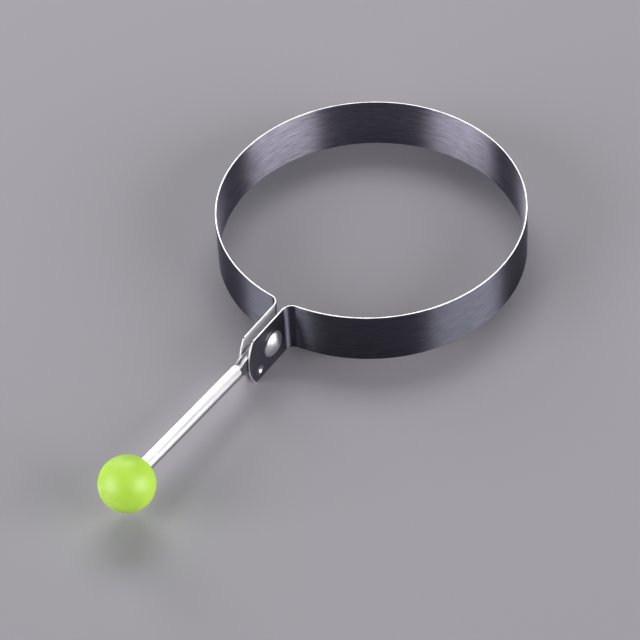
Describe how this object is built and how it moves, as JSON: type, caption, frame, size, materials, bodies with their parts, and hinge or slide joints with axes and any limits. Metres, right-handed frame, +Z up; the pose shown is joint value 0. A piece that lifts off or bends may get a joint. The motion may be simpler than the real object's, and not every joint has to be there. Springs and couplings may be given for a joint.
{
  "type": "egg ring",
  "caption": "Round strip-steel egg ring with a sheet-steel handle that folds over on a rivet between two ears and ends in a plastic ball.",
  "frame": {"origin": "centre of the ring's bore, in the plane of its lower rim", "axes": "+Z up along the ring's axis, -Y out along the handle as it lies for use, +X along the rivet towards its domed head"},
  "size_m": [0.09, 0.1723, 0.02],
  "materials": {
    "strip_steel": "long-line brushed stainless strip with bright deburred edges",
    "handle_steel": "smooth bright stainless sheet with faint drawn lines along the handle",
    "rivet_steel": "polished steel",
    "ball_plastic": "satin lime-green moulded plastic with fine scuffs"
  },
  "bodies": {
    "ring": {"ring_band": "strip_steel", "pivot_rivet": "rivet_steel"},
    "handle": {"handle_stem": "handle_steel", "ball_knob": "ball_plastic"}
  },
  "joints": [
    {"name": "handle_fold", "type": "hinge", "parent": "ring", "child": "handle", "pos_m": [0, -0.0536, 0.0082], "axis": [-1, 0, 0], "range_deg": [0, 176.6]}
  ]
}
